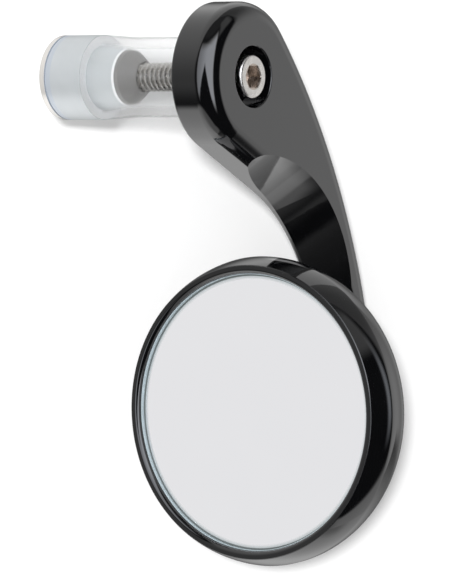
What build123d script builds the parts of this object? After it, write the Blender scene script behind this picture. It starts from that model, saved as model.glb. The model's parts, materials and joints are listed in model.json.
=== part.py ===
# Bar end mirror for a motorcycle: a clamped expander, a machined arm and a round mirror head.
# Frame: origin on the bar axis at the arm's inner face, +X outboard, the mirror faces -Y, +Z up.
import os
from math import atan2, cos, radians, sin, sqrt, tan

from build123d import *

# Arm: head, rear edge, front edge, and the circles that the scoop starts from and opens to
arm_thickness = 10.5
head_radius = 16.4
outer_edge_round = 4.0
inner_edge_round = 0.8
rear_leave_angle = 41.0
rear_knee_back = 7.3
rear_knee_z = -47.5
neck_angle = -116.8
neck_length = 23.4
front_radius = 42.7
scoop_centre_y = 4.2
scoop_centre_z = -50.3
scoop_radius = 33.3
scoop_start_x = 1.3
scoop_start_radius = 33.0
scoop_start_angle = 40.0
scoop_overrun = 1.0
counterbore_diameter = 13.4
counterbore_edge_round = 0.3

# Clamp bolt and washer
thread_diameter = 6.35
bolt_length = 44.45
bolt_head_diameter = 9.53
bolt_head_height = 6.35
bolt_head_sink = 0.05
bolt_head_chamfer = 0.5
bolt_tip_chamfer = 0.8
bolt_hex_flats = 4.76
bolt_hex_depth = 3.2
bolt_hole_clearance = 0.25
washer_diameter = 12.5
washer_thickness = 1.0

# Expander sleeve and wedge nut
sleeve_diameter = 17.6
sleeve_length = 30.0
sleeve_seat_depth = 0.8
sleeve_seat_clearance = 0.15
plug_diameter = 18.8
plug_length = 11.4
plug_rim_width = 1.5
plug_rim_round = 0.5
plug_groove_width = 0.5
plug_groove_depth = 0.4
nose_length = 8.0
nose_root_diameter = 14.4
nose_tip_diameter = 12.0
nose_cone_length = 3.2
nose_cone_land = 0.3
nose_clearance = 0.1
thread_clearance = 0.05

# Mirror head place
mirror_drop = 73.5
lip_y = 5.3

# Mirror glass and pad
glass_diameter = 60.0
glass_clearance = 0.2
glass_sink = 1.8
glass_thickness = 2.2
glass_bevel = 0.4
pad_thickness = 0.8
pad_margin = 0.6

# Mirror housing
lip_width = 2.1
lip_round = 0.3
housing_flare = 2.1
housing_widest_depth = 6.6
shoulder_round = 10.4
flare_round = 5.0
ledge_width = 2.7
cavity_depth = 8.6
hub_wall = 3.0
boss_reach = 5.0
boss_wall = 2.0
boss_flare = 4.5

# Ball joint
ball_diameter = 12.7
ball_depth = 15.0
neck_diameter = 5.0
collar_flats = 8.0
collar_thickness = 3.0
collar_seat_depth = 1.2
collar_seat_clearance = 0.2
stud_diameter = 6.0
stud_length = 8.0
stud_clearance = 0.05
liner_wall = 1.2
liner_clearance = 0.05
liner_back_reach = 3.8
liner_front_reach = 4.5

# Ball retainer and its screws
retainer_flange_diameter = 30.0
retainer_flange_thickness = 2.5
retainer_flange_sink = 1.0
retainer_spigot_wall = 1.3
retainer_hole_diameter = 8.0
retainer_fit = 0.05
retainer_gap = 0.1
screw_count = 3
screw_circle_diameter = 24.0
screw_diameter = 3.0
screw_length = 7.0
screw_hole_end = 1.0
screw_head_diameter = 5.5
screw_head_height = 1.3
screw_clearance = 0.1

# Places along the bar axis
bolt_seat_x = arm_thickness - bolt_head_sink - bolt_head_height
washer_seat_x = bolt_seat_x - washer_thickness
plug_face_x = -sleeve_length
plug_end_x = plug_face_x - plug_length
nose_tip_x = plug_face_x + nose_length
bolt_hole_radius = thread_diameter / 2 + bolt_hole_clearance
nut_bore_radius = thread_diameter / 2 + thread_clearance

# Radii and depths of the mirror head
mirror_x = arm_thickness / 2
recess_radius = glass_diameter / 2 + glass_clearance
lip_radius = recess_radius + lip_width
housing_radius = lip_radius + housing_flare
back_radius = housing_radius - shoulder_round
back_depth = housing_widest_depth + shoulder_round
ledge_depth = glass_sink + glass_thickness + pad_thickness
cavity_radius = recess_radius - ledge_width
flange_radius = retainer_flange_diameter / 2
hub_radius = flange_radius + hub_wall
flange_front_depth = ledge_depth + retainer_flange_sink
flange_back_depth = flange_front_depth + retainer_flange_thickness

# Spheres of the ball joint
ball_radius = ball_diameter / 2
liner_inner_radius = ball_radius + liner_clearance
liner_outer_radius = liner_inner_radius + liner_wall
seat_radius = liner_outer_radius + liner_clearance
spigot_radius = seat_radius + retainer_spigot_wall
boss_depth = ball_depth + boss_reach
boss_hole_radius = sqrt(seat_radius**2 - boss_reach**2)
boss_radius = boss_hole_radius + boss_wall

# The head's plane has the radius along X and the depth behind the lip along Y
head_plane = Plane(origin=(mirror_x, lip_y, -mirror_drop), x_dir=(1, 0, 0), z_dir=(0, 0, 1))
mirror_axis = Axis((mirror_x, lip_y, -mirror_drop), (0, 1, 0))


def depth_plane(depth):
    """Plane across the mirror's axis at a depth behind the lip, facing the rider."""
    return Plane(origin=(mirror_x, lip_y + depth, -mirror_drop), x_dir=(1, 0, 0), z_dir=(0, -1, 0))


def sphere_point(radius, reach):
    """Point of the head's plane on a sphere about the ball, at a reach behind the ball's centre."""
    return (sqrt(radius**2 - reach**2), ball_depth + reach)


# Arm outline: the neck line touches the head and the front arc, the rear edge leaves the head
neck_y = cos(radians(neck_angle))
neck_z = sin(radians(neck_angle))
neck_start = (head_radius * neck_y, head_radius * neck_z)
neck_end = (neck_start[0] - neck_length * neck_z, neck_start[1] + neck_length * neck_y)
front_centre_y = neck_end[0] + front_radius * neck_y
front_centre_z = neck_end[1] + front_radius * neck_z
rear_leave = radians(rear_leave_angle)
rear_start = (head_radius * cos(rear_leave), head_radius * sin(rear_leave))
tail_front_y = front_centre_y + front_radius
rear_knee = (tail_front_y + rear_knee_back, rear_knee_z)

# Tail: the rear edge turns upright at the mirror's height, and the end is a full round
rear_chord_angle = atan2(rear_knee_z - rear_start[1], rear_knee[0] - rear_start[0])
knee_turn = radians(180) + 2 * rear_chord_angle - rear_leave
tail_rear_y = rear_knee[0] + (rear_knee_z + mirror_drop) * tan(knee_turn / 2)
tail_radius = (tail_rear_y - tail_front_y) / 2
stud_seat_depth = tail_front_y + collar_seat_depth - lip_y
collar_radius = collar_flats / sqrt(3)


# The scoop starts near the inner face, where its circle touches the front arc from inside
scoop_shift = front_radius - scoop_start_radius
scoop_start_y = front_centre_y + scoop_shift * cos(radians(scoop_start_angle))
scoop_start_z = front_centre_z + scoop_shift * sin(radians(scoop_start_angle))


def scoop_circle(x):
    """Centre and radius of the scoop's circle at a place along the bar axis."""
    share = (x - scoop_start_x) / (arm_thickness - scoop_start_x)
    y = scoop_start_y + share * (scoop_centre_y - scoop_start_y)
    z = scoop_start_z + share * (scoop_centre_z - scoop_start_z)
    return (y, z), scoop_start_radius + share * (scoop_radius - scoop_start_radius)


# Arm
with BuildPart() as arm:
    with BuildSketch(Plane.YZ):
        with BuildLine():
            CenterArc((0, 0), head_radius, rear_leave_angle, 360 + neck_angle - rear_leave_angle)
            Line(neck_start, neck_end)
            CenterArc((front_centre_y, front_centre_z), front_radius, 0, 180 + neck_angle)
            Line((tail_front_y, front_centre_z), (tail_front_y, -mirror_drop))
            CenterArc((tail_front_y + tail_radius, -mirror_drop), tail_radius, 180, 180)
            TangentArc((tail_rear_y, -mirror_drop), rear_knee, tangent=(0, 1))
            TangentArc(rear_start, rear_knee, tangent=(sin(rear_leave), -cos(rear_leave)))
        make_face()
    extrude(amount=arm_thickness)
    fillet(arm.faces().sort_by(Axis.X)[-1].edges(), outer_edge_round)
    fillet(arm.faces().sort_by(Axis.X)[0].edges(), inner_edge_round)
    for scoop_x in (-scoop_overrun, arm_thickness + scoop_overrun):
        cut_centre, cut_radius = scoop_circle(scoop_x)
        with BuildSketch(Plane.YZ.offset(scoop_x)):
            with Locations(cut_centre):
                Circle(cut_radius)
    loft(ruled=True, mode=Mode.SUBTRACT)
    with Locations(Plane.YZ.offset(arm_thickness)):
        CounterBoreHole(bolt_hole_radius, counterbore_diameter / 2, arm_thickness - washer_seat_x)
    fillet(arm.edges().sort_by_distance((arm_thickness, 0, 0))[0], counterbore_edge_round)
    with BuildSketch(Plane.YZ):
        Circle(sleeve_diameter / 2 + sleeve_seat_clearance)
    extrude(amount=sleeve_seat_depth, mode=Mode.SUBTRACT)
    with BuildSketch(depth_plane(stud_seat_depth)):
        Circle(collar_radius + collar_seat_clearance)
    extrude(amount=collar_seat_depth, mode=Mode.SUBTRACT)
    with Locations(depth_plane(stud_seat_depth)):
        Hole(stud_diameter / 2 + stud_clearance, stud_length + stud_clearance)
arm.part.label = "arm"

# Clamp bolt: head in the counterbore, hex socket, shank through sleeve and nut
with BuildPart() as clamp_bolt:
    with BuildSketch(Plane.YZ.offset(bolt_seat_x)):
        Circle(bolt_head_diameter / 2)
    extrude(amount=bolt_head_height)
    chamfer(clamp_bolt.faces().sort_by(Axis.X)[-1].edges(), bolt_head_chamfer)
    with BuildSketch(Plane.YZ.offset(bolt_seat_x)):
        Circle(thread_diameter / 2)
    extrude(amount=-bolt_length)
    chamfer(clamp_bolt.faces().sort_by(Axis.X)[0].edges(), bolt_tip_chamfer)
    with BuildSketch(Plane.YZ.offset(bolt_seat_x + bolt_head_height)):
        RegularPolygon(bolt_hex_flats / 2, 6, major_radius=False)
    extrude(amount=-bolt_hex_depth, mode=Mode.SUBTRACT)
clamp_bolt.part.label = "clamp_bolt"

# Clamp washer on the counterbore's floor
with BuildPart() as clamp_washer:
    with BuildSketch(Plane.YZ.offset(washer_seat_x)):
        Circle(washer_diameter / 2)
        Circle(bolt_hole_radius, mode=Mode.SUBTRACT)
    extrude(amount=washer_thickness)
clamp_washer.part.label = "clamp_washer"

# Wedge nut: grooved plug with a shoulder, a tapered nose and a cone end, threaded right through
groove_end_x = plug_end_x + plug_rim_width
groove_start_x = groove_end_x + plug_groove_width
groove_radius = plug_diameter / 2 - plug_groove_depth
with BuildPart() as wedge_nut:
    with BuildSketch(Plane.XY):
        Polygon(
            (plug_end_x, nut_bore_radius),
            (plug_end_x, plug_diameter / 2),
            (groove_end_x, plug_diameter / 2),
            (groove_end_x, groove_radius),
            (groove_start_x, groove_radius),
            (groove_start_x, plug_diameter / 2),
            (plug_face_x, plug_diameter / 2),
            (plug_face_x, nose_root_diameter / 2),
            (nose_tip_x, nose_tip_diameter / 2),
            (nose_tip_x + nose_cone_length, nut_bore_radius + nose_cone_land),
            (nose_tip_x + nose_cone_length, nut_bore_radius),
            align=None,
        )
    revolve(axis=Axis.X)
    end_edges = wedge_nut.faces().sort_by(Axis.X)[0].edges()
    fillet(end_edges.sort_by(SortBy.RADIUS)[-1], plug_rim_round)
wedge_nut.part.label = "wedge_nut"

# Expander sleeve: straight at the arm, flared over the nut's nose
sleeve_end_x = plug_face_x + nose_clearance
sleeve_bore_radius = nose_tip_diameter / 2 + nose_clearance
with BuildPart() as expander_sleeve:
    with BuildSketch(Plane.XY):
        Polygon(
            (sleeve_seat_depth, sleeve_bore_radius),
            (sleeve_seat_depth, sleeve_diameter / 2),
            (nose_tip_x, sleeve_diameter / 2),
            (sleeve_end_x, plug_diameter / 2),
            (sleeve_end_x, nose_root_diameter / 2 + nose_clearance),
            (nose_tip_x, sleeve_bore_radius),
            align=None,
        )
    revolve(axis=Axis.X)
expander_sleeve.part.label = "expander_sleeve"

# Ball stud: ball, neck, hex collar sunk in the arm's tail and a threaded shank behind it
ball_plane = depth_plane(ball_depth)
with BuildPart() as ball_stud:
    with Locations(ball_plane):
        Sphere(ball_radius)
    with BuildSketch(ball_plane):
        Circle(neck_diameter / 2)
    extrude(amount=ball_depth - stud_seat_depth)
    with BuildSketch(depth_plane(stud_seat_depth)):
        RegularPolygon(collar_radius, 6, rotation=30)
    extrude(amount=collar_thickness)
    with BuildSketch(depth_plane(stud_seat_depth)):
        Circle(stud_diameter / 2)
    extrude(amount=-stud_length)
ball_stud.part.label = "ball_stud"

# Ball liner: spherical ring between the ball and its seats
with BuildPart() as ball_liner:
    with BuildSketch(head_plane):
        with BuildLine():
            outer_back = sphere_point(liner_outer_radius, liner_back_reach)
            outer_front = sphere_point(liner_outer_radius, -liner_front_reach)
            inner_back = sphere_point(liner_inner_radius, liner_back_reach)
            inner_front = sphere_point(liner_inner_radius, -liner_front_reach)
            Line(inner_back, outer_back)
            ThreePointArc(outer_back, sphere_point(liner_outer_radius, 0), outer_front)
            Line(outer_front, inner_front)
            ThreePointArc(inner_front, sphere_point(liner_inner_radius, 0), inner_back)
        make_face()
    revolve(axis=mirror_axis)
ball_liner.part.label = "ball_liner"

# Mirror housing: cup with a lip, a glass ledge, a cavity, and a hub with the ball's rear seat
widest_point = (housing_radius, housing_widest_depth)
lip_edge = (lip_radius, 0)
back_edge = (back_radius, back_depth)
boss_edge = (boss_hole_radius, boss_depth)
bore_radius = spigot_radius + retainer_fit
with BuildPart() as mirror_housing:
    with BuildSketch(head_plane):
        with BuildLine():
            Line(widest_point, lip_edge)
            TangentArc(widest_point, back_edge, tangent=(0, 1))
            Polyline(
                back_edge,
                (boss_radius + boss_flare, back_depth),
                (boss_radius, boss_depth),
                boss_edge,
            )
            ThreePointArc(boss_edge, sphere_point(seat_radius, boss_reach / 2), (seat_radius, ball_depth))
            Polyline(
                (seat_radius, ball_depth),
                (bore_radius, ball_depth),
                (bore_radius, flange_back_depth),
                (flange_radius + retainer_fit, flange_back_depth),
                (flange_radius + retainer_fit, ledge_depth),
                (hub_radius, ledge_depth),
                (hub_radius, ledge_depth + cavity_depth),
                (cavity_radius, ledge_depth + cavity_depth),
                (cavity_radius, ledge_depth),
                (recess_radius, ledge_depth),
                (recess_radius, 0),
                lip_edge,
            )
        make_face()
    revolve(axis=mirror_axis)
    widest_edges = mirror_housing.edges().filter_by(GeomType.CIRCLE)
    fillet(widest_edges.sort_by(SortBy.RADIUS)[-1], flare_round)
    fillet(mirror_housing.faces().sort_by(Axis.Y)[0].edges(), lip_round)
    with Locations(depth_plane(flange_back_depth)):
        with PolarLocations(screw_circle_diameter / 2, screw_count, start_angle=90):
            Hole(screw_diameter / 2 + thread_clearance, screw_length + screw_hole_end)
mirror_housing.part.label = "mirror_housing"

# Ball retainer: flange on the hub, spigot with the ball's front seat
hole_radius = retainer_hole_diameter / 2
hole_reach = -sqrt(seat_radius**2 - hole_radius**2)
with BuildPart() as ball_retainer:
    with BuildSketch(head_plane):
        with BuildLine():
            Polyline(
                sphere_point(seat_radius, -retainer_gap),
                (spigot_radius, ball_depth - retainer_gap),
                (spigot_radius, flange_back_depth),
                (flange_radius, flange_back_depth),
                (flange_radius, flange_front_depth),
                (hole_radius, flange_front_depth),
                sphere_point(seat_radius, hole_reach),
            )
            ThreePointArc(
                sphere_point(seat_radius, hole_reach),
                sphere_point(seat_radius, hole_reach / 2),
                sphere_point(seat_radius, -retainer_gap),
            )
        make_face()
    revolve(axis=mirror_axis)
    with Locations(depth_plane(flange_front_depth)):
        with PolarLocations(screw_circle_diameter / 2, screw_count, start_angle=90):
            CounterBoreHole(
                screw_diameter / 2 + screw_clearance,
                screw_head_diameter / 2 + screw_clearance,
                screw_head_height,
            )
ball_retainer.part.label = "ball_retainer"

# Retainer screws: heads sunk in the flange
with BuildPart() as retainer_screws:
    with BuildSketch(depth_plane(flange_front_depth)):
        with PolarLocations(screw_circle_diameter / 2, screw_count, start_angle=90):
            Circle(screw_head_diameter / 2)
    extrude(amount=-screw_head_height)
    with BuildSketch(depth_plane(flange_front_depth + screw_head_height)):
        with PolarLocations(screw_circle_diameter / 2, screw_count, start_angle=90):
            Circle(screw_diameter / 2)
    extrude(amount=-screw_length)
retainer_screws.part.label = "retainer_screws"

# Mirror pad: bonds the glass to the ledge and the hub
with BuildPart() as mirror_pad:
    with BuildSketch(depth_plane(ledge_depth)):
        Circle(glass_diameter / 2 - pad_margin)
    extrude(amount=pad_thickness)
mirror_pad.part.label = "mirror_pad"

# Mirror glass: flat, with a ground edge, a little behind the lip
with BuildPart() as mirror_glass:
    with BuildSketch(depth_plane(glass_sink + glass_thickness)):
        Circle(glass_diameter / 2)
    extrude(amount=glass_thickness)
    chamfer(mirror_glass.faces().sort_by(Axis.Y)[0].edges(), glass_bevel)
mirror_glass.part.label = "mirror_glass"

os.makedirs("parts", exist_ok=True)
pieces = [
    arm, clamp_bolt, clamp_washer, wedge_nut, expander_sleeve, ball_stud, ball_liner,
    mirror_housing, ball_retainer, retainer_screws, mirror_pad, mirror_glass,
]
for piece in pieces:
    export_step(piece.part, f"parts/{piece.part.label}.step")
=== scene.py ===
import json
import math

import bpy
from mathutils import Matrix, Vector


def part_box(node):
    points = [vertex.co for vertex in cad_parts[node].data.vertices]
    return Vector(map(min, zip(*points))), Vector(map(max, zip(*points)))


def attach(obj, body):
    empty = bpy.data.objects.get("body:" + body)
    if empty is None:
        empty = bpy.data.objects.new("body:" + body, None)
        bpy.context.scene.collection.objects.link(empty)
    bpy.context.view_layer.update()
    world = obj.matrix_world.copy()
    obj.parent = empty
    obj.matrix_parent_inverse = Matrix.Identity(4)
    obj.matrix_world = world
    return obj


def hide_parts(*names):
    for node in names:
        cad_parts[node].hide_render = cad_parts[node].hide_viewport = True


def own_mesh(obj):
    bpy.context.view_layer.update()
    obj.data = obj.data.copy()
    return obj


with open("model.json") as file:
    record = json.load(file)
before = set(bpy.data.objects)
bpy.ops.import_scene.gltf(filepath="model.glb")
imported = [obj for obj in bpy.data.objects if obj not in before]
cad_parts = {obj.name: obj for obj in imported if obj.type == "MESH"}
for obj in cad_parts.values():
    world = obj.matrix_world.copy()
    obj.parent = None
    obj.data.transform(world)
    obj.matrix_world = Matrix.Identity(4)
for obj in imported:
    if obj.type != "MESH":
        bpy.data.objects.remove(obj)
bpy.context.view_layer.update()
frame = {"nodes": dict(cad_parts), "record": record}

MM = 0.001
NODES = frame["nodes"]
scene = bpy.context.scene
scene.view_settings.view_transform = "Standard"


# Camera

CAMERA_AZIMUTH = math.radians(35.63)
CAMERA_ELEVATION = math.radians(1.69)
CAMERA_ROLL = math.radians(-0.18)
CAMERA_TARGET = Vector((-0.5, 15.0, -38.0)) * MM
CAMERA_DISTANCE = 1200 * MM
CAMERA_CLIP = (0.05, 50)
FOCAL_PIXELS = 5433.1
PICTURE_HEIGHT = 584
AIM_RIGHT = -27.24 / FOCAL_PIXELS
AIM_UP = -42.96 / FOCAL_PIXELS
SENSOR = 36.0


def view_axes():
    """Right, up and towards the viewer, before the roll."""
    level = Vector((math.cos(CAMERA_AZIMUTH), math.sin(CAMERA_AZIMUTH), 0))
    back = Vector((
        math.sin(CAMERA_AZIMUTH) * math.cos(CAMERA_ELEVATION),
        -math.cos(CAMERA_AZIMUTH) * math.cos(CAMERA_ELEVATION),
        math.sin(CAMERA_ELEVATION),
    ))
    return level, back.cross(level), back


def make_camera():
    """A long lens from the front right, level with the arm, turned a little to frame the part."""
    level, over, back = view_axes()
    right = level * math.cos(CAMERA_ROLL) + over * math.sin(CAMERA_ROLL)
    up = over * math.cos(CAMERA_ROLL) - level * math.sin(CAMERA_ROLL)
    z_axis = (back - right * AIM_RIGHT - up * AIM_UP).normalized()
    x_axis = (right - z_axis * right.dot(z_axis)).normalized()
    y_axis = z_axis.cross(x_axis)
    turn = Matrix((x_axis, y_axis, z_axis)).transposed()
    data = bpy.data.cameras.new("camera")
    data.sensor_width = SENSOR
    data.lens = FOCAL_PIXELS * SENSOR / PICTURE_HEIGHT
    data.clip_start, data.clip_end = CAMERA_CLIP
    camera = bpy.data.objects.new("camera", data)
    camera.matrix_world = Matrix.Translation(CAMERA_TARGET + back * CAMERA_DISTANCE) @ turn.to_4x4()
    scene.collection.objects.link(camera)
    scene.camera = camera


make_camera()


# Node helpers

def add(tree, kind, **settings):
    """A new node with its settings made."""
    node = tree.nodes.new(kind)
    for key, value in settings.items():
        setattr(node, key, value)
    return node


def feed(tree, socket, value):
    """Links a socket, or sets its plain value."""
    if isinstance(value, bpy.types.NodeSocket):
        tree.links.new(value, socket)
    else:
        socket.default_value = value


def calc(tree, operation, *values):
    """Output of a Math node."""
    node = add(tree, "ShaderNodeMath", operation=operation)
    for socket, value in zip(node.inputs, values):
        feed(tree, socket, value)
    return node.outputs[0]


def both(tree, first, second):
    """Product of two shares, or a number squared."""
    return calc(tree, "MULTIPLY", first, second)


def either(tree, first, second):
    """Greater of two shares."""
    return calc(tree, "MAXIMUM", first, second)


def ramp(tree, value, low, high, to_low=0.0, to_high=1.0, kind="SMOOTHSTEP"):
    """Value carried from one range to another, held at both ends."""
    node = add(tree, "ShaderNodeMapRange", interpolation_type=kind)
    feed(tree, node.inputs["Value"], value)
    node.inputs["From Min"].default_value = low
    node.inputs["From Max"].default_value = high
    node.inputs["To Min"].default_value = to_low
    node.inputs["To Max"].default_value = to_high
    return node.outputs["Result"]


def mix(tree, data_type, socket_type, share, first, second):
    """Output of a Mix node, by the type of its data and of its sockets."""
    node = add(tree, "ShaderNodeMix", data_type=data_type)
    feed(tree, node.inputs["Factor"], share)
    for name, value in (("A", first), ("B", second)):
        feed(tree, next(s for s in node.inputs if s.name == name and s.type == socket_type), value)
    return next(s for s in node.outputs if s.type == socket_type)


def blend(tree, share, first, second):
    """Number between two numbers."""
    return mix(tree, "FLOAT", "VALUE", share, first, second)


def tint(tree, share, first, second):
    """Colour between two colours."""
    return mix(tree, "RGBA", "RGBA", share, first, second)


def split(tree, vector):
    """X, Y and Z of a vector socket."""
    node = add(tree, "ShaderNodeSeparateXYZ")
    tree.links.new(vector, node.inputs[0])
    return tuple(node.outputs)


# Studio

# Light on matt surfaces, and the floor
FILL = 0.7
FLOOR_GAP = 0.5 * MM
FLOOR_HALF_SIZE = 3.0
FLOOR_COLOUR = (0.93, 0.93, 0.93, 1)
KEY_STRENGTH = 1.9
KEY_ANGLE = math.radians(5)
KEY_RIGHTWARD = 0.05
KEY_DOWNWARD = 0.075

# Card that lights the scoop
CARD_SIZE = (16 * MM, 14 * MM)
CARD_POWER = 0.00046
CARD_SOFT = 0.6
CARD_PLACE = Vector((6.5, 19.8, -31.2)) * MM
CARD_FACING = Vector((0.10, -0.75, 0.65))

# What gloss reflects. Azimuths run from the front, -Y, towards +X, and heights up from the horizon,
# in degrees. An EDGE is its middle and softness, a ZONE its two ends and softness, and a TURN or RISE
# the span over which a level changes. Level 1 is white.

# Room behind and at the left
ROOM_RISE = (-6, 48)
ROOM_LEVELS = (0.45, 1.05)
FAR_LEFT_EDGE = (-118, 12)
FAR_LEFT_TURN = (-172, -152)
FAR_LEFT_LEVELS = (0.42, 0.12)
FAR_LEFT_TOP_EDGE = (29, 13)
FAR_LEFT_TOP_LEVEL = 1.15
REAR_EDGE = (132, 4)
REAR_RISE = (4, 50)
REAR_LEVELS = (1.1, 0.32)
BACK_EDGE = (168, 14)
BACK_LEVEL = 0.42
LOW_LEFT_ZONE = (-75, -20, 8)
LOW_LEFT_TOP_EDGE = (-20, 13)
LOW_LEFT_LEVEL = 0.08

# Dark room in front, with its ceiling, a grey patch, and a softbox cut by a dark wedge
FRONT_ZONE = (-26, 132, 4)
FRONT_LEVEL = 0.008
CEILING_EDGE = (54, 6)
CEILING_LEVEL = 0.16
PATCH_ZONE = (92, 124, 5)
PATCH_HEIGHT_ZONE = (35, 62, 5)
PATCH_LEVEL = 0.55
SOFTBOX_ZONE = (-16, 86, 5)
SOFTBOX_HEIGHT_ZONE = (-27, 44, 9)
SOFTBOX_TURN = (-16, 50)
SOFTBOX_LEVELS = (2.4, 4.4)
WEDGE_AZIMUTH = math.radians(32)
WEDGE_TOP = math.radians(17)
WEDGE_SPREAD = 0.9
WEDGE_EDGE = (0, 4)

# White table under the part
TABLE_TURN = (-45, 60)
TABLE_TOPS = (math.radians(-37), math.radians(-68))
TABLE_REAR_TOP = math.radians(-10)
TABLE_REAR_RIGHT_EDGE = (158, 6)
TABLE_REAR_LEFT_EDGE = (-85, 8)
TABLE_EDGE = (0, 4)
SHINE_TURN = (-131, -92)
SHINE_LEVELS = (1.3, 1.9)
SHINE_FRONT_EDGE = (-30, 25)
SHINE_FRONT_LEVEL = 0.9
SHINE_RIGHT_ZONE = (85, 138, 16)
SHINE_RIGHT_LEVEL = 0.6
SHINE_REAR_EDGE = (146, 10)
SHINE_REAR_LEVEL = 1.3
FAR_TABLE_RIGHT_EDGE = (125, 12)
FAR_TABLE_LEFT_EDGE = (-125, 12)
FAR_TABLE_RISE = (-48, -12)
FAR_TABLE_LEVEL = 0.2
NEAR_TABLE_ZONE = (85, 172, 10)
NEAR_TABLE_TOP_EDGE = (-59, 5)
NEAR_TABLE_TURN = (95, 165)
NEAR_TABLE_LEVELS = (0.12, 0.85)

# What metal reflects inside the clear sleeve
INSIDE_TURN = (-32, 5)
INSIDE_LEVELS = (0.86, 0.42)
INSIDE_TOP_EDGE = (45, 15)
INSIDE_TOP_LEVEL = 0.8
SPOT_ZONE = (-30, -8, 4)
SPOT_HEIGHT_ZONE = (2, 34, 5)
SPOT_LEVEL = 1.05

WHITE = (1, 1, 1, 1)
SOFTBOX_COLOUR = (0.90, 0.93, 1.0, 1)

# A ray's depth above this means at least one bounce
HALF_BOUNCE = 0.5


def rise(tree, angle, middle, soft):
    """0 below an angle in degrees and 1 above it, with a soft edge."""
    return ramp(tree, angle, math.radians(middle - soft), math.radians(middle + soft))


def fall(tree, angle, middle, soft):
    """1 below an angle in degrees and 0 above it, with a soft edge."""
    return calc(tree, "SUBTRACT", 1.0, rise(tree, angle, middle, soft))


def between(tree, angle, low, high, soft):
    """1 inside a range of angles in degrees, 0 outside, with soft edges."""
    return both(tree, rise(tree, angle, low, soft), fall(tree, angle, high, soft))


def slope(tree, angle, span, levels=(0.0, 1.0), kind="SMOOTHSTEP"):
    """Number that goes from one level to another over a span of degrees."""
    low, high = span
    return ramp(tree, angle, math.radians(low), math.radians(high), *levels, kind)


def room_level(tree, around, height):
    """Pale room, dim at the far left and straight behind, and dark below the horizon at the left."""
    level = slope(tree, height, ROOM_RISE, ROOM_LEVELS)
    low = slope(tree, around, FAR_LEFT_TURN, FAR_LEFT_LEVELS)
    far_left = blend(tree, rise(tree, height, *FAR_LEFT_TOP_EDGE), low, FAR_LEFT_TOP_LEVEL)
    level = blend(tree, fall(tree, around, *FAR_LEFT_EDGE), level, far_left)
    rear = slope(tree, height, REAR_RISE, REAR_LEVELS)
    level = blend(tree, rise(tree, around, *REAR_EDGE), level, rear)
    level = blend(tree, rise(tree, around, *BACK_EDGE), level, BACK_LEVEL)
    low_left = both(tree, between(tree, around, *LOW_LEFT_ZONE), fall(tree, height, *LOW_LEFT_TOP_EDGE))
    return blend(tree, low_left, level, LOW_LEFT_LEVEL)


def front_level(tree, around, height, level, softbox):
    """The room with its dark front, dim ceiling and grey patch, and the softbox with its wedge left out."""
    front = between(tree, around, *FRONT_ZONE)
    level = blend(tree, front, level, FRONT_LEVEL)
    level = blend(tree, both(tree, front, rise(tree, height, *CEILING_EDGE)), level, CEILING_LEVEL)
    patch = both(tree, between(tree, around, *PATCH_ZONE), between(tree, height, *PATCH_HEIGHT_ZONE))
    level = blend(tree, patch, level, PATCH_LEVEL)
    aside = calc(tree, "ABSOLUTE", calc(tree, "SUBTRACT", around, WEDGE_AZIMUTH))
    spread = calc(tree, "MULTIPLY", calc(tree, "SUBTRACT", WEDGE_TOP, height), WEDGE_SPREAD)
    beside_wedge = rise(tree, calc(tree, "SUBTRACT", aside, spread), *WEDGE_EDGE)
    glow = slope(tree, around, SOFTBOX_TURN, SOFTBOX_LEVELS)
    return blend(tree, both(tree, softbox, beside_wedge), level, glow)


def table_share(tree, around, height):
    """1 below the table's edge, which is lowest at the right and reaches highest behind."""
    top = slope(tree, around, TABLE_TURN, TABLE_TOPS)
    top = blend(tree, rise(tree, around, *TABLE_REAR_RIGHT_EDGE), top, TABLE_REAR_TOP)
    top = blend(tree, rise(tree, around, *TABLE_REAR_LEFT_EDGE), TABLE_REAR_TOP, top)
    return rise(tree, calc(tree, "SUBTRACT", top, height), *TABLE_EDGE)


def table_shine(tree, around, height):
    """Level of the table: brightest at the left, dim far behind and in the shade of the arm."""
    shine = slope(tree, around, SHINE_TURN, SHINE_LEVELS, "LINEAR")
    shine = blend(tree, rise(tree, around, *SHINE_FRONT_EDGE), shine, SHINE_FRONT_LEVEL)
    shine = blend(tree, between(tree, around, *SHINE_RIGHT_ZONE), shine, SHINE_RIGHT_LEVEL)
    shine = blend(tree, rise(tree, around, *SHINE_REAR_EDGE), shine, SHINE_REAR_LEVEL)
    behind = either(tree, rise(tree, around, *FAR_TABLE_RIGHT_EDGE), fall(tree, around, *FAR_TABLE_LEFT_EDGE))
    far = both(tree, behind, slope(tree, height, FAR_TABLE_RISE))
    shine = blend(tree, far, shine, FAR_TABLE_LEVEL)
    near = both(tree, between(tree, around, *NEAR_TABLE_ZONE), fall(tree, height, *NEAR_TABLE_TOP_EDGE))
    return blend(tree, near, shine, slope(tree, around, NEAR_TABLE_TURN, NEAR_TABLE_LEVELS, "LINEAR"))


def gloss_level(tree, around, height):
    """What gloss reflects, and where the softbox is in it."""
    softbox = both(tree, between(tree, around, *SOFTBOX_ZONE), between(tree, height, *SOFTBOX_HEIGHT_ZONE))
    level = front_level(tree, around, height, room_level(tree, around, height), softbox)
    shine = table_shine(tree, around, height)
    return blend(tree, table_share(tree, around, height), level, shine), softbox


def seen_through_sleeve(tree, around, height):
    """Pale at the left, with a small highlight, and grey in front."""
    level = slope(tree, around, INSIDE_TURN, INSIDE_LEVELS)
    spot = both(tree, between(tree, around, *SPOT_ZONE), between(tree, height, *SPOT_HEIGHT_ZONE))
    level = blend(tree, spot, level, SPOT_LEVEL)
    return blend(tree, rise(tree, height, *INSIDE_TOP_EDGE), level, INSIDE_TOP_LEVEL)


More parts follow.
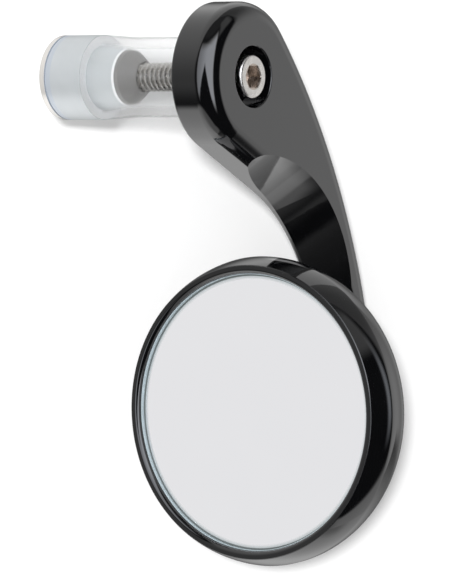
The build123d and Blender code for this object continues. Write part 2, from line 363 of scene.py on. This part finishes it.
def make_world():
    """White for the camera and mirrors, an even fill for matt surfaces, and a studio for gloss."""
    world = bpy.data.worlds.new("studio")
    scene.world = world
    world.use_nodes = True
    world.cycles.sampling_method = "NONE"
    tree = world.node_tree
    tree.nodes.clear()
    x, y, z = split(tree, add(tree, "ShaderNodeTexCoord").outputs["Generated"])
    around = calc(tree, "ARCTAN2", x, calc(tree, "MULTIPLY", y, -1.0))
    height = calc(tree, "ARCSINE", z)
    path = add(tree, "ShaderNodeLightPath")
    glossy = calc(tree, "GREATER_THAN", path.outputs["Glossy Depth"], HALF_BOUNCE)
    inside = calc(tree, "GREATER_THAN", path.outputs["Transmission Depth"], HALF_BOUNCE)
    gloss, softbox = gloss_level(tree, around, height)
    gloss = blend(tree, inside, gloss, seen_through_sleeve(tree, around, height))
    level = blend(tree, glossy, FILL, gloss)
    clear = calc(tree, "SUBTRACT", path.outputs["Is Transmission Ray"], glossy)
    plain = either(tree, path.outputs["Is Camera Ray"], path.outputs["Is Singular Ray"])
    plain = either(tree, plain, clear)
    level = blend(tree, plain, level, 1.0)
    cool = both(tree, softbox, calc(tree, "SUBTRACT", glossy, plain))
    background = add(tree, "ShaderNodeBackground")
    feed(tree, background.inputs["Color"], tint(tree, cool, WHITE, SOFTBOX_COLOUR))
    tree.links.new(level, background.inputs["Strength"])
    output = add(tree, "ShaderNodeOutputWorld")
    tree.links.new(background.outputs[0], output.inputs["Surface"])


def floor_material():
    """Pale matt floor that is clear from behind."""
    material = bpy.data.materials.new("floor")
    material.use_nodes = True
    tree = material.node_tree
    tree.nodes.clear()
    matt = add(tree, "ShaderNodeBsdfDiffuse")
    matt.inputs["Color"].default_value = FLOOR_COLOUR
    clear = add(tree, "ShaderNodeBsdfTransparent")
    sides = add(tree, "ShaderNodeNewGeometry")
    by_side = add(tree, "ShaderNodeMixShader")
    tree.links.new(sides.outputs["Backfacing"], by_side.inputs[0])
    tree.links.new(matt.outputs[0], by_side.inputs[1])
    tree.links.new(clear.outputs[0], by_side.inputs[2])
    output = add(tree, "ShaderNodeOutputMaterial")
    tree.links.new(by_side.outputs[0], output.inputs["Surface"])
    return material


def make_floor():
    """Floor that the part lies on, square to the view as in the photograph."""
    level, over, back = view_axes()
    rest = min(back.dot(vertex.co) for node in NODES.values() for vertex in node.data.vertices) - FLOOR_GAP
    corners = []
    for x, y in ((-1, -1), (1, -1), (1, 1), (-1, 1)):
        corners.append(tuple(back * rest + (level * x + over * y) * FLOOR_HALF_SIZE))
    mesh = bpy.data.meshes.new("floor")
    mesh.from_pydata(corners, [], [(0, 1, 2, 3)])
    mesh.materials.append(floor_material())
    floor = bpy.data.objects.new("floor", mesh)
    floor.visible_glossy = False
    scene.collection.objects.link(floor)


def make_key():
    """Soft sun from the viewer's upper left that lights matt surfaces and casts the shadow."""
    data = bpy.data.lights.new("key", "SUN")
    data.energy = KEY_STRENGTH
    data.angle = KEY_ANGLE
    lamp = bpy.data.objects.new("key", data)
    level, over, back = view_axes()
    shining = level * KEY_RIGHTWARD - over * KEY_DOWNWARD - back
    lamp.rotation_euler = shining.to_track_quat("-Z", "Y").to_euler()
    lamp.visible_glossy = False
    scene.collection.objects.link(lamp)


def soften(data, share):
    """Lets an area lamp fade towards its edges, over a share of its half width."""
    data.use_nodes = True
    tree = data.node_tree
    glow = next(n for n in tree.nodes if n.type == "EMISSION")
    place = add(tree, "ShaderNodeNewGeometry")
    middle = 0.5
    strength = 1.0
    for along in split(tree, place.outputs["Parametric"])[:2]:
        aside = calc(tree, "ABSOLUTE", calc(tree, "SUBTRACT", along, middle))
        fade = ramp(tree, aside, middle * (1 - share), middle, 1.0, 0.0)
        strength = both(tree, fade, strength)
    tree.links.new(strength, glow.inputs["Strength"])


def make_gloss_lamp(name, size, power, soft, place, facing, upright_axis):
    """Rectangle of light with soft edges that only gloss sees."""
    data = bpy.data.lights.new(name, "AREA")
    data.shape = "RECTANGLE"
    data.size, data.size_y = size
    data.energy = power
    soften(data, soft)
    lamp = bpy.data.objects.new(name, data)
    lamp.location = place
    lamp.rotation_euler = facing.to_track_quat("-Z", upright_axis).to_euler()
    lamp.visible_camera = False
    lamp.visible_diffuse = False
    lamp.visible_transmission = False
    scene.collection.objects.link(lamp)
    return lamp


make_world()
make_floor()
make_key()
make_gloss_lamp("bounce_card", CARD_SIZE, CARD_POWER, CARD_SOFT, CARD_PLACE, CARD_FACING, "X")


# Materials

# Part of a noise's range over which roughness changes
GRAIN_LOW = 0.3
GRAIN_HIGH = 0.7


def new_material(name):
    """Material with a Principled shader, as (material, tree, shader)."""
    material = bpy.data.materials.new(name)
    material.use_nodes = True
    tree = material.node_tree
    shader = next(n for n in tree.nodes if n.type == "BSDF_PRINCIPLED")
    return material, tree, shader


def noise(tree, scale, detail, stretch=None):
    """Noise in metres of the part's own frame."""
    coords = add(tree, "ShaderNodeTexCoord")
    source = coords.outputs["Object"]
    if stretch:
        mapping = add(tree, "ShaderNodeMapping")
        mapping.inputs["Scale"].default_value = stretch
        tree.links.new(source, mapping.inputs["Vector"])
        source = mapping.outputs[0]
    node = add(tree, "ShaderNodeTexNoise")
    tree.links.new(source, node.inputs["Vector"])
    node.inputs["Scale"].default_value = scale
    node.inputs["Detail"].default_value = detail
    return node.outputs["Fac"]


def grain_between(tree, grain, low, high):
    """Number that follows a grain from one value to another."""
    return ramp(tree, grain, GRAIN_LOW, GRAIN_HIGH, low, high)


def bump(tree, shader, height, strength, distance):
    """Bump from a height socket, with its depth in metres."""
    node = add(tree, "ShaderNodeBump")
    node.inputs["Strength"].default_value = strength
    node.inputs["Distance"].default_value = distance
    tree.links.new(height, node.inputs["Height"])
    tree.links.new(node.outputs[0], shader.inputs["Normal"])


def distance_from_axis(tree, first, second):
    """Length of two coordinates taken together."""
    return calc(tree, "SQRT", calc(tree, "ADD", both(tree, first, first), both(tree, second, second)))


def own_axes(tree):
    """The three coordinates in metres of the part's own frame."""
    return split(tree, add(tree, "ShaderNodeTexCoord").outputs["Object"])


def along_and_across(tree):
    """Place along the bar axis and distance from it."""
    x, y, z = own_axes(tree)
    return x, distance_from_axis(tree, y, z)


COAT_COLOURS = ((0.0018, 0.0019, 0.0022, 1), (0.0034, 0.0035, 0.0040, 1))


def black_coat():
    """Deep gloss black over polished metal, with a trace of orange peel and handling haze."""
    material, tree, shader = new_material("black_coat")
    shader.inputs["IOR"].default_value = 1.5
    shader.inputs["Coat Weight"].default_value = 0.4
    shader.inputs["Coat Roughness"].default_value = 0.03
    haze = noise(tree, scale=140, detail=4)
    feed(tree, shader.inputs["Base Color"], tint(tree, haze, *COAT_COLOURS))
    feed(tree, shader.inputs["Roughness"], grain_between(tree, haze, 0.05, 0.08))
    bump(tree, shader, noise(tree, scale=700, detail=1), strength=0.03, distance=0.00002)
    return material


STEEL_COLOURS = ((0.53, 0.51, 0.485, 1), (0.60, 0.585, 0.565, 1))
# Painted shade: darker, browner colour inside the hex socket's recess.
PAINTED_SOCKET_SHADE_COLOUR = (0.43, 0.375, 0.33, 1)
SOCKET_REACH = 2.85 * MM
SOCKET_START_X = 5.0 * MM


def stainless():
    """Satin stainless steel with fine lathe marks, and painted shade, darker and browner, inside the hex
    socket.
    """
    material, tree, shader = new_material("stainless")
    shader.inputs["Metallic"].default_value = 1.0
    along, across = along_and_across(tree)
    socket = both(tree, calc(tree, "LESS_THAN", across, SOCKET_REACH),
                  calc(tree, "GREATER_THAN", along, SOCKET_START_X))
    lines = noise(tree, scale=1.0, detail=3, stretch=(6000, 900, 900))
    steel = tint(tree, noise(tree, scale=600, detail=3), *STEEL_COLOURS)
    # Painted shade inside the hex socket.
    feed(tree, shader.inputs["Base Color"], tint(tree, socket, steel, PAINTED_SOCKET_SHADE_COLOUR))
    feed(tree, shader.inputs["Roughness"], grain_between(tree, lines, 0.24, 0.34))
    bump(tree, shader, lines, strength=0.05, distance=0.00001)
    return material


PLUG_RIM_X = -39.9 * MM
PLUG_BAND_X = -38.2 * MM
PLUG_FACE_X = -30.0 * MM
PLUG_FACE_REACH = 9.3 * MM
PLUG_FACE_DEPTH = 0.05 * MM
NOSE_CONE_X = -23.3 * MM
NOSE_HIGHLIGHT_HALF_WIDTH = 0.3 * MM
SATIN_COLOURS = ((0.49, 0.52, 0.535, 1), (0.55, 0.575, 0.59, 1))
# Painted light: the nose is paler than the plug.
PAINTED_NOSE_LIGHT_COLOUR = (0.60, 0.63, 0.645, 1)
# Painted shade: the nose's front cone is darker.
PAINTED_CONE_SHADE_COLOUR = (0.27, 0.265, 0.26, 1)
# Painted highlights on the plug's face and the nose's front edge.
PAINTED_HIGHLIGHT_COLOUR = (0.93, 0.94, 0.95, 1)
# Painted reflection: a bluish band behind the rim.
PAINTED_BAND_REFLECTION_COLOUR = (0.48, 0.52, 0.57, 1)
RIM_COLOUR = (0.66, 0.64, 0.61, 1)
RIM_ROUGHNESS = 0.2


def turned_aluminium():
    """Satin turned aluminium with tool lines and a shiny rim; painted light on the nose, painted shade on its
    cone, painted highlights on the plug's face and the nose's edge, and a painted reflection in a bluish
    band.
    """
    material, tree, shader = new_material("plain_aluminium")
    shader.inputs["Metallic"].default_value = 0.25
    along, across = along_and_across(tree)
    lines = noise(tree, scale=1.0, detail=3, stretch=(7000, 60, 60))
    colour = tint(tree, noise(tree, scale=220, detail=3), *SATIN_COLOURS)
    # Painted light: paler colour from the plug's face forward.
    colour = tint(tree, calc(tree, "GREATER_THAN", along, PLUG_FACE_X), colour, PAINTED_NOSE_LIGHT_COLOUR)
    # Painted shade on the cone in front of the nose.
    colour = tint(tree, calc(tree, "GREATER_THAN", along, NOSE_CONE_X), colour, PAINTED_CONE_SHADE_COLOUR)
    # Painted highlights: a bright ring on the plug's face and a bright line along the nose's edge.
    face = both(tree, calc(tree, "COMPARE", along, PLUG_FACE_X, PLUG_FACE_DEPTH),
                calc(tree, "LESS_THAN", across, PLUG_FACE_REACH))
    edge = calc(tree, "COMPARE", along, NOSE_CONE_X, NOSE_HIGHLIGHT_HALF_WIDTH)
    colour = tint(tree, either(tree, face, edge), colour, PAINTED_HIGHLIGHT_COLOUR)
    # Painted reflection: a bluish band near the rim.
    colour = tint(tree, calc(tree, "LESS_THAN", along, PLUG_BAND_X), colour, PAINTED_BAND_REFLECTION_COLOUR)
    rim = calc(tree, "LESS_THAN", along, PLUG_RIM_X)
    feed(tree, shader.inputs["Base Color"], tint(tree, rim, colour, RIM_COLOUR))
    rough = grain_between(tree, lines, 0.38, 0.45)
    feed(tree, shader.inputs["Roughness"], blend(tree, rim, rough, RIM_ROUGHNESS))
    bump(tree, shader, lines, strength=0.03, distance=0.00001)
    return material


PLASTIC_COLOURS = ((0.93, 0.945, 0.95, 1), (0.965, 0.975, 0.98, 1))


def clear_plastic():
    """Clear moulded sleeve with flow lines and a soft shine, which hardly bends the light it passes."""
    material, tree, shader = new_material("clear_sleeve")
    shader.inputs["Transmission Weight"].default_value = 1.0
    shader.inputs["Alpha"].default_value = 0.4
    shader.inputs["IOR"].default_value = 1.03
    shader.inputs["Coat Weight"].default_value = 0.6
    shader.inputs["Coat Roughness"].default_value = 0.2
    flow = noise(tree, scale=120, detail=3, stretch=(0.3, 1, 1))
    feed(tree, shader.inputs["Base Color"], tint(tree, flow, *PLASTIC_COLOURS))
    feed(tree, shader.inputs["Roughness"], grain_between(tree, flow, 0.10, 0.15))
    return material


STUD_COLOURS = ((0.48, 0.48, 0.49, 1), (0.60, 0.60, 0.61, 1))


def stud_steel():
    """Plain bright steel, ground."""
    material, tree, shader = new_material("stud_steel")
    shader.inputs["Metallic"].default_value = 1.0
    grind = noise(tree, scale=1500, detail=4)
    feed(tree, shader.inputs["Base Color"], tint(tree, grind, *STUD_COLOURS))
    feed(tree, shader.inputs["Roughness"], grain_between(tree, grind, 0.18, 0.34))
    bump(tree, shader, grind, strength=0.1, distance=0.00001)
    return material


NYLON_COLOURS = ((0.80, 0.785, 0.74, 1), (0.87, 0.86, 0.82, 1))


def nylon():
    """Natural nylon, matt and a little cloudy."""
    material, tree, shader = new_material("nylon")
    cloud = noise(tree, scale=500, detail=3)
    feed(tree, shader.inputs["Base Color"], tint(tree, cloud, *NYLON_COLOURS))
    feed(tree, shader.inputs["Roughness"], grain_between(tree, cloud, 0.45, 0.6))
    bump(tree, shader, noise(tree, scale=2500, detail=2), strength=0.1, distance=0.00002)
    return material


FOAM_COLOURS = ((0.03, 0.03, 0.03, 1), (0.06, 0.06, 0.06, 1))


def foam():
    """Black closed-cell foam."""
    material, tree, shader = new_material("foam")
    cells = noise(tree, scale=4000, detail=2)
    feed(tree, shader.inputs["Base Color"], tint(tree, cells, *FOAM_COLOURS))
    shader.inputs["Roughness"].default_value = 0.9
    bump(tree, shader, cells, strength=0.5, distance=0.0001)
    return material


# The mirror's axis and lip, in millimetres
HOUSING_LOW, HOUSING_HIGH = (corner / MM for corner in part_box("mirror_housing"))
HEAD_X = (HOUSING_LOW.x + HOUSING_HIGH.x) / 2
HEAD_Z = (HOUSING_LOW.z + HOUSING_HIGH.z) / 2
LIP_Y = HOUSING_LOW.y
GLASS_RADIUS = 30.42
GLASS_RIM = 0.12
SILVER_DEPTH = 2.05
SILVER_MARGIN = 0.05
SILVER_RADIUS = 29.9
# Painted reflection: from this radius out the silver turns matt grey.
PAINTED_EDGE_GREY_RADIUS = 29.0
SILVER_COLOURS = ((0.765, 0.765, 0.785, 1), (0.785, 0.785, 0.80, 1))
# Painted reflection: a matt grey band that darkens the silver towards its edge.
PAINTED_EDGE_GREY_COLOUR = (0.42, 0.45, 0.46, 1)
# Painted reflection of the lip's wall: a dark ring at the silver's edge.
PAINTED_WALL_REFLECTION_COLOUR = (0.12, 0.135, 0.135, 1)
GLASS_RIM_COLOUR = (0.46, 0.54, 0.57, 1)
GLASS_EDGE_ROUGHNESS = 0.4


def silvered_glass():
    """Mirror: clean silvering inside a frosted rim, with painted reflection of the lip's wall at its edge: a
    matt grey band that darkens the silver, then a dark ring.
    """
    material, tree, shader = new_material("mirror")
    x, y, z = own_axes(tree)
    across = calc(tree, "SUBTRACT", x, HEAD_X * MM)
    above = calc(tree, "SUBTRACT", z, HEAD_Z * MM)
    radius = distance_from_axis(tree, across, above)
    rim = calc(tree, "LESS_THAN", y, (LIP_Y + SILVER_DEPTH - SILVER_MARGIN) * MM)
    # Painted reflection of the lip's wall: a dark ring at the silver's edge.
    dark = calc(tree, "GREATER_THAN", radius, SILVER_RADIUS * MM)
    # Painted reflection: the silver turns matt grey towards its edge.
    haze = ramp(tree, radius, PAINTED_EDGE_GREY_RADIUS * MM, SILVER_RADIUS * MM)
    silver = tint(tree, noise(tree, scale=40, detail=2), *SILVER_COLOURS)
    silver = tint(tree, haze, silver, PAINTED_EDGE_GREY_COLOUR)
    colour = tint(tree, dark, silver, PAINTED_WALL_REFLECTION_COLOUR)
    feed(tree, shader.inputs["Base Color"], tint(tree, rim, colour, GLASS_RIM_COLOUR))
    matt = either(tree, rim, dark)
    feed(tree, shader.inputs["Metallic"], calc(tree, "SUBTRACT", 1.0, either(tree, matt, haze)))
    feed(tree, shader.inputs["Roughness"], calc(tree, "MULTIPLY", matt, GLASS_EDGE_ROUGHNESS))
    return material


MATERIALS = {
    "black_coat": black_coat(),
    "stainless": stainless(),
    "plain_aluminium": turned_aluminium(),
    "clear_sleeve": clear_plastic(),
    "stud_steel": stud_steel(),
    "nylon": nylon(),
    "foam": foam(),
    "mirror": silvered_glass(),
}

for part in frame["record"]["subparts"]:
    mesh = NODES[part["node"]].data
    mesh.materials.clear()
    mesh.materials.append(MATERIALS[part["material_slot"]])


# Pieces, with sizes in millimetres and turns in degrees

SHARP_ANGLE = 25


def new_piece(name, points, faces, slot, sharp_angle=SHARP_ANGLE):
    """Mesh piece from points in millimetres, smooth with sharp edges kept."""
    mesh = bpy.data.meshes.new(name)
    mesh.from_pydata([tuple(c * MM for c in point) for point in points], [], faces)
    mesh.update()
    mesh.polygons.foreach_set("use_smooth", [True] * len(mesh.polygons))
    mesh.set_sharp_from_angle(angle=math.radians(sharp_angle))
    mesh.materials.append(MATERIALS[slot])
    piece = bpy.data.objects.new(name, mesh)
    scene.collection.objects.link(piece)
    return piece


def on_bar(along, across, up):
    """Place on the bar axis, which is X."""
    return along, across, up


def on_mirror(along, across, up):
    """Place on the mirror's axis, as a depth behind the lip."""
    return HEAD_X - across, LIP_Y + along, HEAD_Z + up


def turned_mesh(rings, count, closed, place=on_bar):
    """Points and faces of rings along an axis; a ring's radius is a number or a function of angle."""
    points = []
    for along, radius in rings:
        for step in range(count):
            angle = 2 * math.pi * step / count
            r = radius(angle) if callable(radius) else radius
            points.append(place(along, r * math.cos(angle), r * math.sin(angle)))
    faces = []
    last = len(rings) if closed else len(rings) - 1
    for ring in range(last):
        near = ring * count
        far = (ring + 1) % len(rings) * count
        for step in range(count):
            after = (step + 1) % count
            faces.append((near + step, near + after, far + after, far + step))
    if not closed:
        for ring, turn in ((0, 1), (len(rings) - 1, -1)):
            points.append(place(rings[ring][0], 0, 0))
            hub = len(points) - 1
            for step in range(count):
                edge = (ring * count + (step + 1) % count, ring * count + step, hub)
                faces.append(edge[::turn])
    return points, faces


def turned_inside_out(faces):
    """Faces with their other side outward."""
    return [face[::-1] for face in faces]


BOLT_TIP_X, BOLT_TOP_X = (corner.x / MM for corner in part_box("clamp_bolt"))
BOLT_HEAD_HEIGHT = 6.35
BOLT_SEAT_X = BOLT_TOP_X - BOLT_HEAD_HEIGHT
BOLT_HEAD_RADIUS = 4.765
BOLT_FACE_RADII = (2.83, 3.1, 4.0)
BOLT_ROUND = 0.5
BOLT_ROUND_STEPS = 6
BOLT_COUNT = 96
BOLT_SHARP_ANGLE = 28
HEX_APOTHEM = 2.38
HEX_DEPTH = 3.2
HEX_CHAMFER = 0.1
HEX_FLOOR_STEP = 0.05
DRILL_DEPTH = 0.75
DRILL_RADIUS = 2.2
DRILL_TIP_RADIUS = 0.05
KNURL_TEETH = 48
KNURL_DEPTH = 0.07
KNURL_TOP = 1.3
KNURL_FOOT = 0.5
KNURL_END = 0.15
SEAT_CHAMFER = 0.35
SEAT_CHAMFER_STEP = 0.05
NECK_ROUND = 0.2
SHANK_LENGTH = 3.0
THREAD_RADIUS = 3.165
THREAD_ROOT_RADIUS = 2.45
THREAD_PITCH = 1.27
THREAD_START = 3.3
THREAD_ROWS = 10
THREAD_TIP_STEP = 0.1
RIDGE_TOP = 1.3
RIDGE_SLOPE = 2.8


def hex_radius(angle):
    """Radius of the hex socket, corners along Y."""
    return HEX_APOTHEM / math.cos(angle % (math.pi / 3) - math.pi / 6)


def knurl_radius(angle):
    """Radius of the knurled head, one tooth every second point."""
    return BOLT_HEAD_RADIUS - KNURL_DEPTH * (0.5 - 0.5 * math.cos(angle * KNURL_TEETH))


def thread_ring(x):
    """Radius round the thread at a place along the bolt."""
    tip = THREAD_ROOT_RADIUS - THREAD_TIP_STEP + (x - BOLT_TIP_X)

    def radius(angle):
        phase = (x / THREAD_PITCH - angle / (2 * math.pi)) % 1
        ridge = min(1, max(0, RIDGE_TOP - RIDGE_SLOPE * abs(phase - 0.5)))
        return min(tip, THREAD_ROOT_RADIUS + (THREAD_RADIUS - THREAD_ROOT_RADIUS) * ridge)

    return radius


def make_bolt():
    """Socket head screw with a knurled head and a cut thread."""
    floor = BOLT_TOP_X - HEX_DEPTH
    rings = [(floor - DRILL_DEPTH, DRILL_TIP_RADIUS), (floor, DRILL_RADIUS)]
    rings += [(floor + HEX_FLOOR_STEP, hex_radius), (BOLT_TOP_X - HEX_CHAMFER, hex_radius)]
    rings += [(BOLT_TOP_X, radius) for radius in BOLT_FACE_RADII]
    for step in range(1, BOLT_ROUND_STEPS + 1):
        angle = math.pi / 2 * step / BOLT_ROUND_STEPS
        rings.append((BOLT_TOP_X - BOLT_ROUND * (1 - math.cos(angle)),
                      BOLT_HEAD_RADIUS - BOLT_ROUND * (1 - math.sin(angle))))
    rings += [(BOLT_TOP_X - KNURL_TOP, BOLT_HEAD_RADIUS), (BOLT_TOP_X - KNURL_TOP - KNURL_END, knurl_radius)]
    rings += [(BOLT_SEAT_X + KNURL_FOOT, knurl_radius)]
    rings += [(BOLT_SEAT_X + SEAT_CHAMFER, BOLT_HEAD_RADIUS - SEAT_CHAMFER_STEP)]
    rings += [(BOLT_SEAT_X, BOLT_HEAD_RADIUS - SEAT_CHAMFER), (BOLT_SEAT_X, THREAD_RADIUS + NECK_ROUND)]
    rings += [(BOLT_SEAT_X - NECK_ROUND, THREAD_RADIUS), (BOLT_SEAT_X - SHANK_LENGTH, THREAD_RADIUS)]
    start = BOLT_SEAT_X - THREAD_START
    rows = round((start - BOLT_TIP_X) / THREAD_PITCH * THREAD_ROWS)
    for row in range(rows + 1):
        x = start + (BOLT_TIP_X - start) * row / rows
        rings.append((x, thread_ring(x)))
    points, faces = turned_mesh(rings, BOLT_COUNT, False)
    bolt = new_piece("cap_screw", points, turned_inside_out(faces), "stainless", BOLT_SHARP_ANGLE)
    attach(bolt, "bolt")
    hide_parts("clamp_bolt")


SLEEVE_SEAT_X = 0.8
SLEEVE_END_X = -29.95
SLEEVE_RADIUS = 8.8
SLEEVE_BORE_RADIUS = 6.5
SLEEVE_CHAMFER = 0.2
SLEEVE_COUNT = 128
NOSE_TIP_X = -22.0
FLARE_BEND = 0.8
FLARE_BEND_RADIUS = 8.82
FLARE_START_RADIUS = 8.87
FLARE_RADIUS = 9.395
FLARE_CORNER = 0.05
FLARE_END_RADIUS = 9.36
FLARE_BORE_RADIUS = 7.6


def make_sleeve():
    """Clear sleeve that flares over the nut's nose."""
    chamfer_x = SLEEVE_SEAT_X - SLEEVE_CHAMFER
    rings = [(SLEEVE_SEAT_X, SLEEVE_BORE_RADIUS + SLEEVE_CHAMFER)]
    rings += [(SLEEVE_SEAT_X, SLEEVE_RADIUS - SLEEVE_CHAMFER), (chamfer_x, SLEEVE_RADIUS)]
    rings += [(NOSE_TIP_X + FLARE_BEND, SLEEVE_RADIUS)]
    rings += [(NOSE_TIP_X, FLARE_BEND_RADIUS), (NOSE_TIP_X - FLARE_BEND, FLARE_START_RADIUS)]
    rings += [(SLEEVE_END_X + FLARE_CORNER, FLARE_RADIUS), (SLEEVE_END_X, FLARE_END_RADIUS)]
    rings += [(SLEEVE_END_X, FLARE_BORE_RADIUS), (NOSE_TIP_X, SLEEVE_BORE_RADIUS)]
    rings += [(chamfer_x, SLEEVE_BORE_RADIUS)]
    points, faces = turned_mesh(rings, SLEEVE_COUNT, True)
    sleeve = new_piece("clear_sleeve", points, turned_inside_out(faces), "clear_sleeve")
    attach(sleeve, "expander")
    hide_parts("expander_sleeve")
    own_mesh(sleeve)


HEAD_COUNT = 192
LIP_RADIUS = 32.3
LIP_CORNER = 0.15
LIP_INNER_RADIUS = 30.5
LIP_ROUND = 1.0
SIDE_ROUND = 21.3
SIDE_FRONT_TURN = -25
CREASE_TURN = -9
CREASE_DEPTH = 5.8
CREASE_RADIUS = 34.1
SHOULDER_ROUND = 15.8
SHOULDER_FRONT_TURN = 2
SHOULDER_BACK_TURN = 38
RING_GAP = 0.02
BACK_DEPTH = 17.0
GLASS_BACK_DEPTH = 4.0
LEDGE_DEPTH = 4.8
CAVITY_DEPTH = 13.4
CAVITY_RADIUS = 27.5
HUB_RADIUS = 18.0
FLANGE_DEPTH = 8.3
FLANGE_RADIUS = 15.05
BORE_RADIUS = 9.0
BALL_DEPTH = 15.0
SEAT_RADIUS = 7.65
BOSS_RADIUS = 7.79
BOSS_FOOT_RADIUS = 12.29


def arc_rings(centre, size, start, stop, steps):
    """Rings round an arc about a (depth, radius), from one turn to another; 0 is outward and 90 backward."""
    depth, radius = centre
    rings = []
    for step in range(steps + 1):
        turn = math.radians(start + (stop - start) * step / steps)
        rings.append((depth + size * math.sin(turn), radius + size * math.cos(turn)))
    return rings


def arc_centre(ring, size, turn):
    """Centre of the arc of this size that passes through a ring at a turn."""
    depth, radius = ring
    return depth - size * math.sin(math.radians(turn)), radius - size * math.cos(math.radians(turn))


def housing_front():
    """Rings of the lip, from the glass out, and of the crowned side back to the crease."""
    inner_centre = (LIP_ROUND, LIP_INNER_RADIUS + LIP_ROUND)
    rings = arc_rings(inner_centre, LIP_ROUND, -180, -90, steps=10)
    rings += [(0, LIP_INNER_RADIUS + LIP_ROUND + RING_GAP), (0, LIP_RADIUS - LIP_CORNER - RING_GAP)]
    corner_centre = (LIP_CORNER, LIP_RADIUS - LIP_CORNER)
    rings += arc_rings(corner_centre, LIP_CORNER, -90, SIDE_FRONT_TURN, steps=4)
    side_centre = arc_centre((CREASE_DEPTH, CREASE_RADIUS), SIDE_ROUND, CREASE_TURN)
    return rings + arc_rings(side_centre, SIDE_ROUND, SIDE_FRONT_TURN, CREASE_TURN, steps=12)


def housing_back():
    """Rings of the domed shoulder, from the crease back, and of its rounding into the flat back."""
    crease = (CREASE_DEPTH + RING_GAP, CREASE_RADIUS)
    centre = arc_centre(crease, SHOULDER_ROUND, SHOULDER_FRONT_TURN)
    rings = arc_rings(centre, SHOULDER_ROUND, SHOULDER_FRONT_TURN, SHOULDER_BACK_TURN, steps=12)
    last = rings[-1]
    back_round = (BACK_DEPTH - last[0]) / (1 - math.sin(math.radians(SHOULDER_BACK_TURN)))
    centre = arc_centre(last, back_round, SHOULDER_BACK_TURN)
    return rings + arc_rings(centre, back_round, SHOULDER_BACK_TURN, 90, steps=10)[1:]


def housing_inside():
    """Rings of the ball's boss and seat, then of the hub and the cavity, forward to the glass."""
    boss_depth = HOUSING_HIGH.y - LIP_Y
    boss_turn = math.degrees(math.asin((boss_depth - BALL_DEPTH) / SEAT_RADIUS))
    rings = [(BACK_DEPTH, BOSS_FOOT_RADIUS), (boss_depth, BOSS_RADIUS)]
    rings += arc_rings((BALL_DEPTH, 0), SEAT_RADIUS, boss_turn, 0, steps=8)
    rings += [(BALL_DEPTH, BORE_RADIUS), (FLANGE_DEPTH, BORE_RADIUS), (FLANGE_DEPTH, FLANGE_RADIUS)]
    rings += [(LEDGE_DEPTH, FLANGE_RADIUS), (LEDGE_DEPTH, HUB_RADIUS), (CAVITY_DEPTH, HUB_RADIUS)]
    rings += [(CAVITY_DEPTH, CAVITY_RADIUS), (LEDGE_DEPTH, CAVITY_RADIUS), (LEDGE_DEPTH, LIP_INNER_RADIUS)]
    return rings


def make_housing():
    """Spun housing: rounded lip, crowned side, a crease, a domed shoulder, and the ball's boss behind."""
    rings = housing_front() + housing_back() + housing_inside()
    points, faces = turned_mesh(rings, HEAD_COUNT, True, on_mirror)
    housing = new_piece("mirror_shell", points, faces, "black_coat")
    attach(housing, "mirror_head")
    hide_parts("mirror_housing")
    return housing


MIRROR_HUB_RADIUS = 20.0
RIM_SETBACK = 0.08


def make_mirror():
    """Mirror plate: silvered face inside the rim of the glass."""
    inner = GLASS_RADIUS - GLASS_RIM
    rim_depth = LIP_ROUND + RIM_SETBACK
    rings = [(SILVER_DEPTH, MIRROR_HUB_RADIUS), (SILVER_DEPTH, inner)]
    rings += [(rim_depth, inner), (rim_depth, GLASS_RADIUS)]
    rings += [(GLASS_BACK_DEPTH, GLASS_RADIUS), (GLASS_BACK_DEPTH, MIRROR_HUB_RADIUS)]
    points, faces = turned_mesh(rings, HEAD_COUNT, False, on_mirror)
    mirror = new_piece("mirror_plate", points, faces, "mirror")
    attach(mirror, "mirror_head")
    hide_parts("mirror_glass")


# Strip lamp, which is placed and linked by the housing
STRIP_AWAY = 70
STRIP_TURN = math.radians(122)
STRIP_RISE = 0.25
STRIP_SIZE = (13 * MM, 130 * MM)
STRIP_POWER = 0.009
STRIP_SOFT = 0.9
STRIP_COLOUR = (0.88, 0.92, 1.0)


def make_strip_lamp(housing):
    """Upright strip of cool light that only the housing's side reflects."""
    outward = Vector((math.sin(STRIP_TURN), -math.cos(STRIP_TURN), STRIP_RISE))
    crease = Vector((HEAD_X + CREASE_RADIUS, LIP_Y + CREASE_DEPTH, HEAD_Z))
    place = (crease + outward * STRIP_AWAY) * MM
    lamp = make_gloss_lamp("strip", STRIP_SIZE, STRIP_POWER, STRIP_SOFT, place, -outward, "Y")
    lamp.data.color = STRIP_COLOUR
    receivers = bpy.data.collections.new("strip_receivers")
    receivers.objects.link(housing)
    lamp.light_linking.receiver_collection = receivers


make_bolt()
make_sleeve()
shell = make_housing()
make_mirror()
make_strip_lamp(shell)
